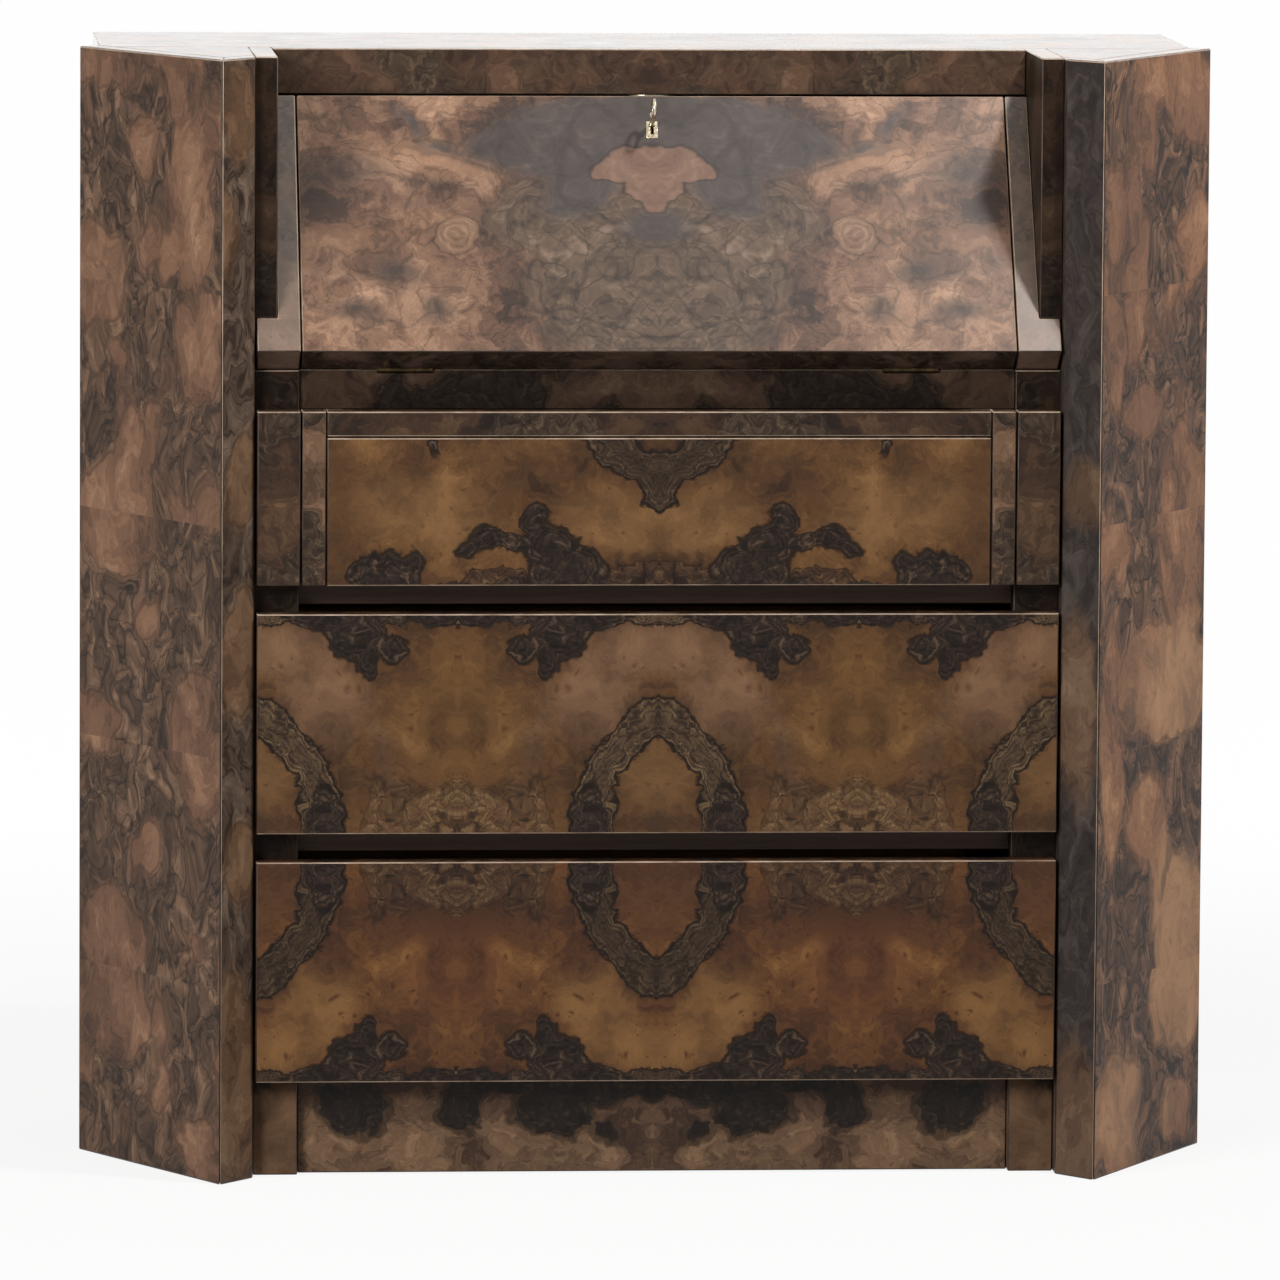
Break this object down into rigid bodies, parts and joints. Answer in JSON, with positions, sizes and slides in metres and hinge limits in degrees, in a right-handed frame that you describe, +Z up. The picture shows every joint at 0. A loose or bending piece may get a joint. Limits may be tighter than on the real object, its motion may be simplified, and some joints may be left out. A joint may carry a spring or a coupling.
{
  "type": "slant-front desk",
  "caption": "Slant-front writing desk with canted wings, stacked drawers with finger gaps, a locking hinged fall and pull-out arms that carry it open.",
  "frame": {"origin": "on the floor at the middle of the desk's footprint", "axes": "+Z up, -Y is the front with the fall and drawers, +Y the flat back, +X to the right seen from the front"},
  "size_m": [1.0414, 0.4448, 1.02],
  "materials": {
    "burr_veneer": "satin lacquered burr walnut veneer",
    "walnut_edge": "dark stained walnut",
    "drawer_lining": "plain oiled hardwood",
    "back_ply": "plain plywood",
    "brass": "polished",
    "steel": "brushed"
  },
  "bodies": {
    "carcass": {"top_panel": "burr_veneer", "top_rail": "burr_veneer", "back_panel": "back_ply", "outer_side_L": "burr_veneer", "outer_side_R": "burr_veneer", "inner_side_L": "walnut_edge", "inner_side_R": "walnut_edge", "wing_panel_L": "burr_veneer", "wing_panel_R": "burr_veneer", "wing_return_L": "burr_veneer", "wing_return_R": "burr_veneer", "column_cap_L": "burr_veneer", "column_cap_R": "burr_veneer", "slant_cheek_L": "burr_veneer", "slant_cheek_R": "burr_veneer", "front_post_L": "burr_veneer", "front_post_R": "burr_veneer", "plinth_board": "burr_veneer", "bottom_board": "walnut_edge", "dust_board_lower": "walnut_edge", "dust_board_upper": "walnut_edge", "writing_board": "burr_veneer", "drawer_rail": "burr_veneer", "row_block_L": "burr_veneer", "row_block_R": "burr_veneer", "loper_partition_L": "walnut_edge", "loper_partition_R": "walnut_edge", "fall_stop": "walnut_edge", "strike_plate": "brass", "hinge_leaf_fixed_L": "brass", "hinge_leaf_fixed_R": "brass", "hinge_pin_L": "steel", "hinge_pin_R": "steel", "interior_shelf": "walnut_edge", "interior_divider_L": "walnut_edge", "interior_divider_R": "walnut_edge"},
    "fall": {"fall_panel": "burr_veneer", "hinge_leaf_moving_L": "brass", "hinge_leaf_moving_R": "brass", "lock_case": "steel", "escutcheon": "brass"},
    "key": {"key": "brass"},
    "bolt": {"lock_bolt": "brass"},
    "drawer_top": {"drawer_top_front": "burr_veneer", "drawer_top_side_L": "drawer_lining", "drawer_top_side_R": "drawer_lining", "drawer_top_back": "drawer_lining", "drawer_top_bottom": "drawer_lining"},
    "drawer_middle": {"drawer_middle_front": "burr_veneer", "drawer_middle_side_L": "drawer_lining", "drawer_middle_side_R": "drawer_lining", "drawer_middle_back": "drawer_lining", "drawer_middle_bottom": "drawer_lining"},
    "drawer_bottom": {"drawer_bottom_front": "burr_veneer", "drawer_bottom_side_L": "drawer_lining", "drawer_bottom_side_R": "drawer_lining", "drawer_bottom_back": "drawer_lining", "drawer_bottom_bottom": "drawer_lining"},
    "loper_left": {"loper_L": "burr_veneer"},
    "loper_right": {"loper_R": "burr_veneer"}
  },
  "joints": [
    {"name": "fall_hinge", "type": "hinge", "parent": "carcass", "child": "fall", "pos_m": [0, -0.16106, 0.7363], "axis": [1, 0, 0], "range_deg": [0, 122.3]},
    {"name": "key_turn", "type": "hinge", "parent": "fall", "child": "key", "pos_m": [0, -0.06632, 0.95222], "axis": [0, -0.8453, 0.5344], "range_deg": [0, 90]},
    {"name": "bolt_throw", "type": "slide", "parent": "fall", "child": "bolt", "axis": [0, 0.5344, 0.8453], "range_m": [0, 0.017]},
    {"name": "drawer_top_slide", "type": "slide", "parent": "carcass", "child": "drawer_top", "axis": [0, -1, 0], "range_m": [0, 0.28]},
    {"name": "drawer_middle_slide", "type": "slide", "parent": "carcass", "child": "drawer_middle", "axis": [0, -1, 0], "range_m": [0, 0.28]},
    {"name": "drawer_bottom_slide", "type": "slide", "parent": "carcass", "child": "drawer_bottom", "axis": [0, -1, 0], "range_m": [0, 0.28]},
    {"name": "loper_left_slide", "type": "slide", "parent": "carcass", "child": "loper_left", "axis": [0, -1, 0], "range_m": [0, 0.2]},
    {"name": "loper_right_slide", "type": "slide", "parent": "carcass", "child": "loper_right", "axis": [0, -1, 0], "range_m": [0, 0.2]}
  ],
  "couplings": [
    {"joint": "bolt_throw", "follows": "key_turn", "m_per_rad": 0.010823}
  ]
}
